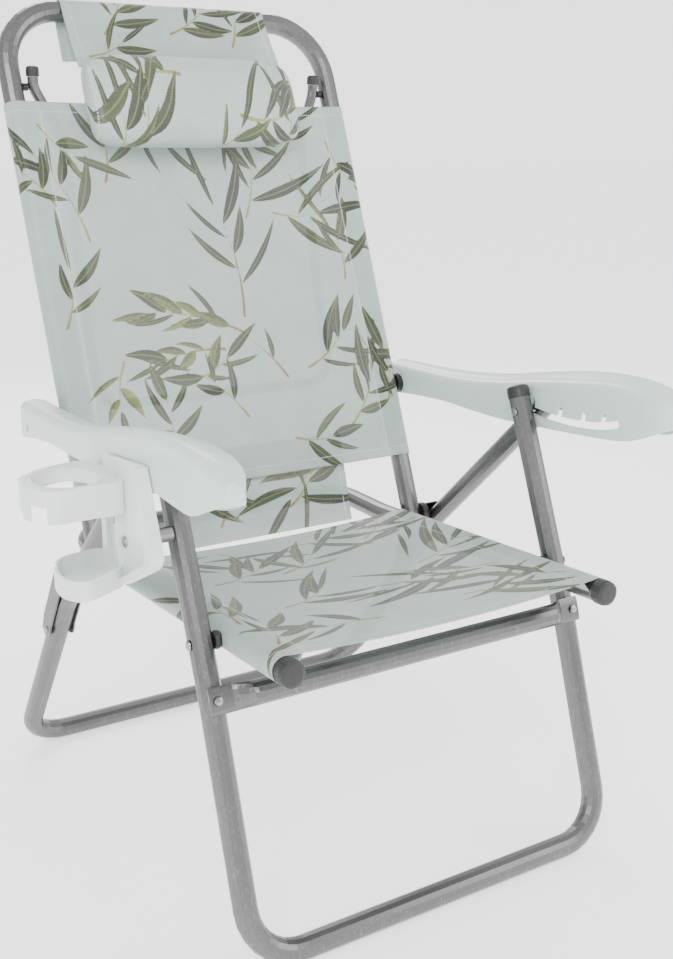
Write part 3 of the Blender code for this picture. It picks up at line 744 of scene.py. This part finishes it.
# the profiles are (y, z) or (y, x) pairs along the arm, for the left armrest at rest
armLook = {
    "front": -0.0595, "rear": 0.4635, "wall": 0.0028, "round": 0.010, "pinShare": 0.692, "recline": 58.0,
    "slotHalf": 0.0043, "notches": (0.0, 0.28, 0.54, 0.79), "pin": (0.165, 0.488), "slotX": (0.236, 0.256),
    "notch": ((-0.0043, 0.001), (0.0043, 0.001), (0.0015, 0.0125), (-0.0010, 0.0150), (-0.0050, 0.0145),
              (-0.0058, 0.0110)),
    "holeRadius": 0.0050, "holeX": (0.268, 0.295), "grid": (44, 150), "endShare": 0.04, "crown": 0.0012,
    "endBulge": 0.0015, "smooth": 38,
    "top": [(-0.0600, 0.524), (-0.045, 0.5345), (-0.015, 0.5420), (0.020, 0.5460), (0.060, 0.5455),
            (0.105, 0.5410), (0.165, 0.5310), (0.231, 0.5185), (0.281, 0.5115), (0.331, 0.5070),
            (0.385, 0.5050), (0.464, 0.5040)],
    "innerLow": [(-0.060, 0.5070), (-0.038, 0.5000), (-0.015, 0.4880), (0.010, 0.4800), (0.036, 0.4765),
                 (0.110, 0.4715), (0.217, 0.4660), (0.278, 0.4665), (0.336, 0.4690), (0.396, 0.4665),
                 (0.464, 0.4610)],
    "outerLow": [(-0.060, 0.5070), (-0.030, 0.4950), (-0.010, 0.4850), (0.020, 0.4860), (0.074, 0.4900),
                 (0.150, 0.4850), (0.220, 0.4790), (0.292, 0.4760), (0.360, 0.4755), (0.420, 0.4680),
                 (0.464, 0.4610)],
    "innerX": [(-0.060, 0.2630), (-0.050, 0.2550), (-0.034, 0.2465), (-0.014, 0.2440), (0.464, 0.2440)],
    "outerX": [(-0.060, 0.2780), (-0.045, 0.2835), (-0.010, 0.2862), (0.120, 0.2865), (0.300, 0.2835),
               (0.464, 0.2790)],
    "fall": [(-0.060, 0.003), (0.100, 0.008), (0.300, 0.005), (0.464, 0.001)],
}


def armrestShell(name):
    look = armLook
    top, innerLow, outerLow = (smoothLine(look[key]) for key in ("top", "innerLow", "outerLow"))
    innerX, outerX = smoothLine(look["innerX"], 0.012), smoothLine(look["outerX"])
    fall = smoothLine(look["fall"])
    ends = look["endShare"]

    def place(u, v):
        share = min(max((v - ends) / (1 - 2 * ends), 0.0), 1.0)
        y = look["front"] + (look["rear"] - look["front"]) * share
        high, x0, x1 = top(y), innerX(y), outerX(y)
        low0, low1 = innerLow(y), outerLow(y)
        bend = min(look["round"], (x1 - x0) * 0.45, (high - max(low0, low1)) * 0.6)
        wall0, wall1 = high - fall(y) - bend - low0, high - bend - low1
        arc = math.pi / 2 * bend
        flat = x1 - x0 - 2 * bend
        run = u * (wall0 + wall1 + 2 * arc + flat)
        if run < wall0:
            x, z = x0, low0 + run
        elif run < wall0 + arc:
            turn = (run - wall0) / bend
            x, z = x0 + bend * (1 - math.cos(turn)), low0 + wall0 + bend * math.sin(turn)
        elif run < wall0 + arc + flat:
            rise = (run - wall0 - arc) / flat
            x = x0 + bend + flat * rise
            z = low0 + wall0 + bend + fall(y) * rise + look["crown"] * math.sin(math.pi * rise)
        elif run < wall0 + 2 * arc + flat:
            turn = (run - wall0 - arc - flat) / bend
            x, z = x1 - bend + bend * math.sin(turn), high - bend * (1 - math.cos(turn))
        else:
            x, z = x1, high - bend - (run - wall0 - 2 * arc - flat)
        for edge, way in ((v / ends, -1), ((1 - v) / ends, 1)):
            if edge < 1:
                close = 1 - edge
                low = low0 + (low1 - low0) * u
                z = low + (z - low) * math.cos(close * math.pi / 2)
                y += way * look["endBulge"] * math.sin(close * math.pi / 2)
        return Vector((x, y, z)), (0, 0, 0), 0

    piece = gridPiece(name, *look["grid"], place)[0]
    cleanMesh(piece)
    apply(piece, "SOLIDIFY", thickness=look["wall"], offset=-1.0, use_even_offset=False)
    return piece


# where the top pin stands in the left armrest, at a recline angle
def pinSpot(angle):
    hinge = backPivot + turned(armPivot - backPivot, -angle)
    return armPivot + turned(Vector(armLook["pin"]) - hinge, angle * (1 - armLook["pinShare"]))


def makeArmrests():
    look = armLook
    full = math.radians(look["recline"])
    half = look["slotHalf"]
    for side, sign in (("left", 1), ("right", -1)):
        piece = armrestShell(f"armrest{side.capitalize()}Shell")
        path = [pinSpot(full * i / 16) for i in range(17)]
        nose = [path[0] + turned((0, half), -math.pi * i / 6) for i in range(7)]
        tail = [path[-1] + turned((0, half), math.pi * (1 - i / 6)) for i in range(7)]
        slot = [p + Vector((0, half)) for p in reversed(path[1:-1])] + nose
        slot += [p - Vector((0, half)) for p in path[1:-1]] + tail
        carve(piece, flatSolid("slotTool", slot, *look["slotX"], "X"))
        for share in look["notches"]:
            pin = pinSpot(full * share)
            carve(piece, flatSolid("notchTool", [pin + Vector(p) for p in look["notch"]], *look["slotX"], "X"))
        hole = [armPivot + turned((look["holeRadius"], 0), math.tau * i / 20) for i in range(20)]
        carve(piece, flatSolid("holeTool", hole, *look["holeX"], "X"))
        if sign < 0:
            piece.data.transform(Matrix.Scale(-1, 4, (1, 0, 0)))
            piece.data.flip_normals()
        shadeByAngle(piece, look["smooth"])
        piece.data.materials.clear()
        piece.data.materials.append(finishes["armrest"])
        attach(piece, f"armrest_{side}")
        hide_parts(f"armrest_{side}")
    note("armrests made")


# the drink and phone holder: a side plate, an upper deck with a cup hole, and a lower tray
# the plate's outlines are (y, z), and those of the deck and the tray are (x, y), open where they meet the plate
holderLook = {
    "plate": -0.2892, "wall": 0.003, "deckTop": 0.488, "deckLow": 0.456, "collarLow": 0.473,
    "trayTop": 0.402, "trayLow": 0.382, "past": 0.02,
    "side": [(0.180, 0.503), (0.078, 0.512), (0.047, 0.432), (0.056, 0.420), (0.130, 0.383), (0.180, 0.382)],
    "sideRound": 0.010,
    "rim": [(0.090, 0.508), (0.078, 0.512), (0.047, 0.432), (0.056, 0.420), (0.130, 0.383), (0.133, 0.388),
            (0.065, 0.424), (0.061, 0.434)],
    "rimDepth": 0.012, "rimRound": 0.003,
    "window": [(0.142, 0.440), (0.164, 0.436), (0.164, 0.464), (0.142, 0.464)], "windowRound": 0.003,
    "deck": [(-0.330, 0.124), (-0.366, 0.121), (-0.3805, 0.148), (-0.376, 0.186), (-0.345, 0.212),
             (-0.312, 0.220)],
    "deckEnds": (0.122, 0.220), "deckRound": 0.016, "dishEdge": 0.0055, "dishDepth": 0.0014,
    "cup": (-0.333, 0.168), "cupHalf": (0.0320, 0.0380), "collarHalf": (0.0345, 0.0405),
    "pen": (-0.3665, 0.136), "penRadius": 0.0032,
    # (y, height over the deck's lower edge) of what is cut out of its skirt
    "skirtCut": [(0.160, -0.02), (0.160, 0.004), (0.192, 0.014), (0.240, 0.014), (0.240, -0.02)],
    "hookCut": [(0.100, -0.02), (0.100, 0.015), (0.148, 0.017), (0.148, -0.02)],
    "hookX": (-0.3765, -0.366), "hookRound": 0.006,
    "tray": [(-0.318, 0.117), (-0.343, 0.104), (-0.357, 0.125), (-0.354, 0.162), (-0.338, 0.190)],
    "trayEnds": (0.134, 0.199), "trayRound": 0.018,
    "slit": [(-0.3510, 0.140), (-0.3475, 0.140), (-0.3475, 0.20), (-0.3510, 0.20)], "slitFloor": 0.006,
    # depth, from y, to y
    "posts": ((0.008, 0.1345, 0.1385), (0.006, 0.1675, 0.1795)),
    "bevel": 0.0008, "smooth": 35,
}


def roundedOutline(points, radius):
    steps = 6
    out = []
    count = len(points)
    for i, corner in enumerate(points):
        corner = Vector(corner)
        a = Vector(points[i - 1]) - corner
        b = Vector(points[(i + 1) % count]) - corner
        reach = min(radius, a.length * 0.48, b.length * 0.48)
        start, end = corner + a.normalized() * reach, corner + b.normalized() * reach
        for k in range(steps + 1):
            t = k / steps
            out.append(start * (1 - t) ** 2 + corner * 2 * t * (1 - t) + end * t ** 2)
    return out


def shrunk(points, amount):
    middle = sum((Vector(p) for p in points), Vector((0, 0))) / len(points)
    return [Vector(p) + (middle - Vector(p)).normalized() * amount for p in points]


def makeHolder():
    look = holderLook
    face, wall, past = look["plate"], look["wall"], look["past"]
    top, low = look["deckTop"], look["deckLow"]
    trayTop, trayLow = look["trayTop"], look["trayLow"]

    def fromPlate(name):
        start, end = look[name + "Ends"]
        return roundedOutline([(face + 0.001, start)] + look[name] + [(face + 0.001, end)], look[name + "Round"])

    def oval(halfX, halfY, middle):
        return [Vector((middle[0] + halfX * p.x, middle[1] + halfY * p.y)) for p in spots]

    side = roundedOutline(look["side"], look["sideRound"])
    piece = flatSolid("drinkHolder", side, face - wall / 2, face + wall / 2, "X")
    rim = roundedOutline(look["rim"], look["rimRound"])
    carve(piece, flatSolid("rim", rim, face - look["rimDepth"], face + wall / 2, "X"), "UNION")
    window = roundedOutline(look["window"], look["windowRound"])
    carve(piece, flatSolid("windowTool", window, face - past, face + past, "X"))
    spots = [Vector((math.cos(a), math.sin(a))) for a in (math.tau * i / 40 for i in range(40))]
    deck = fromPlate("deck")
    body = flatSolid("deck", deck, low, top, "Z")
    carve(body, flatSolid("deckHollow", shrunk(deck, wall), low - past / 2, top - wall, "Z"))
    dish = shrunk(deck, look["dishEdge"])
    carve(body, flatSolid("deckDish", dish, top - look["dishDepth"], top + past / 2, "Z"))
    collar = oval(*look["collarHalf"], look["cup"])
    carve(body, flatSolid("collar", collar, look["collarLow"], top - 0.001, "Z"), "UNION")
    for name, outline in (("cupTool", oval(*look["cupHalf"], look["cup"])),
                          ("penTool", oval(look["penRadius"], look["penRadius"], look["pen"]))):
        carve(body, flatSolid(name, outline, low - past, top + past, "Z"))
    skirtCut = [(y, low + rise) for y, rise in look["skirtCut"]]
    carve(body, flatSolid("skirtTool", skirtCut, -0.40, face - 0.004, "X"))
    hookCut = roundedOutline([(y, low + rise) for y, rise in look["hookCut"]], look["hookRound"])
    carve(body, flatSolid("hookTool", hookCut, *look["hookX"], "X"))
    carve(piece, body, "UNION")
    tray = fromPlate("tray")
    base = flatSolid("tray", tray, trayLow, trayTop, "Z")
    carve(base, flatSolid("trayHollow", shrunk(tray, wall), trayLow + wall, trayTop + past / 2, "Z"))
    carve(base, flatSolid("slitTool", look["slit"], trayLow + look["slitFloor"], trayTop + past / 2, "Z"))
    carve(piece, base, "UNION")
    for depth, y0, y1 in look["posts"]:
        post = [(face - depth, y0), (face, y0), (face, y1), (face - depth, y1)]
        carve(piece, flatSolid("post", post, trayLow + 0.002, top - 0.002, "Z"), "UNION")
    cleanMesh(piece)
    apply(piece, "BEVEL", width=look["bevel"], segments=2, limit_method="ANGLE", angle_limit=math.radians(50))
    shadeByAngle(piece, look["smooth"])
    piece.data.materials.clear()
    piece.data.materials.append(finishes["holder"])
    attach(piece, "front_legs")
    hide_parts("cup_holder")
    note("holder made")


groups = {"grain": makeGrainGroup(), "weave": makeWeaveGroup()}
finishes = {
    "tube": makeMetal("satinTube", (0.155, 0.150, 0.154), 0.33),
    "rivet": makeMetal("rivetMetal", (0.30, 0.30, 0.31), 0.26),
    "bracket": makeMetal("bracketMetal", (0.12, 0.12, 0.124), 0.36),
    "cap": makePlastic("capPlastic", (0.016, 0.016, 0.017), 0.50, 0.05),
    "bush": makePlastic("bushPlastic", (0.012, 0.012, 0.014), 0.48),
    "armrest": makePlastic("armrestPlastic", (0.56, 0.68, 0.645), 0.30, 0.2, 0.012),
    "holder": makePlastic("holderPlastic", (0.72, 0.78, 0.765), 0.30, 0.2, 0.012),
    "cloth": makeCloth("leafPrintCloth", alpha=0.80),
    "pillow": makeCloth("leafPrintPillow", 0.32),
}
note("finishes made")


tubeSmooth = 37
replacedNodes = ("pillow", "pillow_strap", "seat_fabric", "back_fabric", "seat_riser", "armrest_left",
                 "armrest_right", "cup_holder")


def dressFrame():
    rules = (("holder_spacer", "rivet"), ("cap", "cap"),
             ("bush", "bush"), ("spacer", "bush"), ("rivet", "rivet"), ("pin", "rivet"), ("head", "rivet"),
             ("bolt", "rivet"), ("hinge_link", "bracket"))
    for name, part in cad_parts.items():
        if name in replacedNodes:
            continue
        finish = next((use for key, use in rules if key in name), "tube")
        for slot in part.material_slots:
            slot.material = finishes[finish]
        shadeByAngle(part, tubeSmooth)


makeStage()
dressFrame()
makeSling()
makeRiser()
makeStrap()
makePillow()
makeArmrests()
makeHolder()
note("pieces made")
